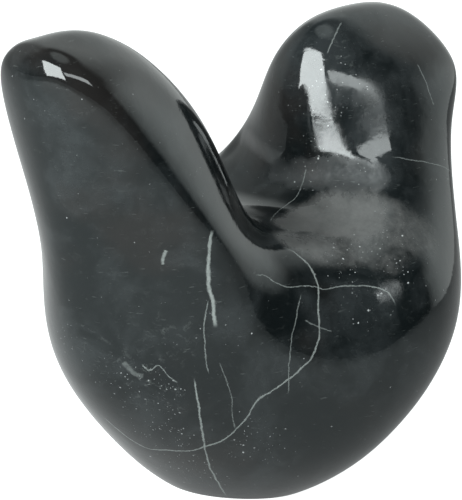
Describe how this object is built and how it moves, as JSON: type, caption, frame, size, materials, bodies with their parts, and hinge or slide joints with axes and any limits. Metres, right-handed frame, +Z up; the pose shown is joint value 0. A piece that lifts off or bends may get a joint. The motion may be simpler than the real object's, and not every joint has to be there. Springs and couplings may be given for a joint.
{
  "type": "stone bird statue",
  "caption": "Abstract bird carved from one block of polished black marble: round body on a small flat foot, blunt head, and a broad paddle tail raised behind.",
  "frame": {"origin": "middle of the flat foot that the bird stands on", "axes": "+Z up, -Y the way the bird's head and breast face, +Y towards the raised tail, +X the bird's left side; X is the shortest side of its box"},
  "size_m": [0.1192, 0.1676, 0.1501],
  "materials": {
    "black_marble": "polished black marble with thin white veins and flecks"
  },
  "bodies": {
    "root": {"stone_bird": "black_marble"}
  },
  "joints": []
}
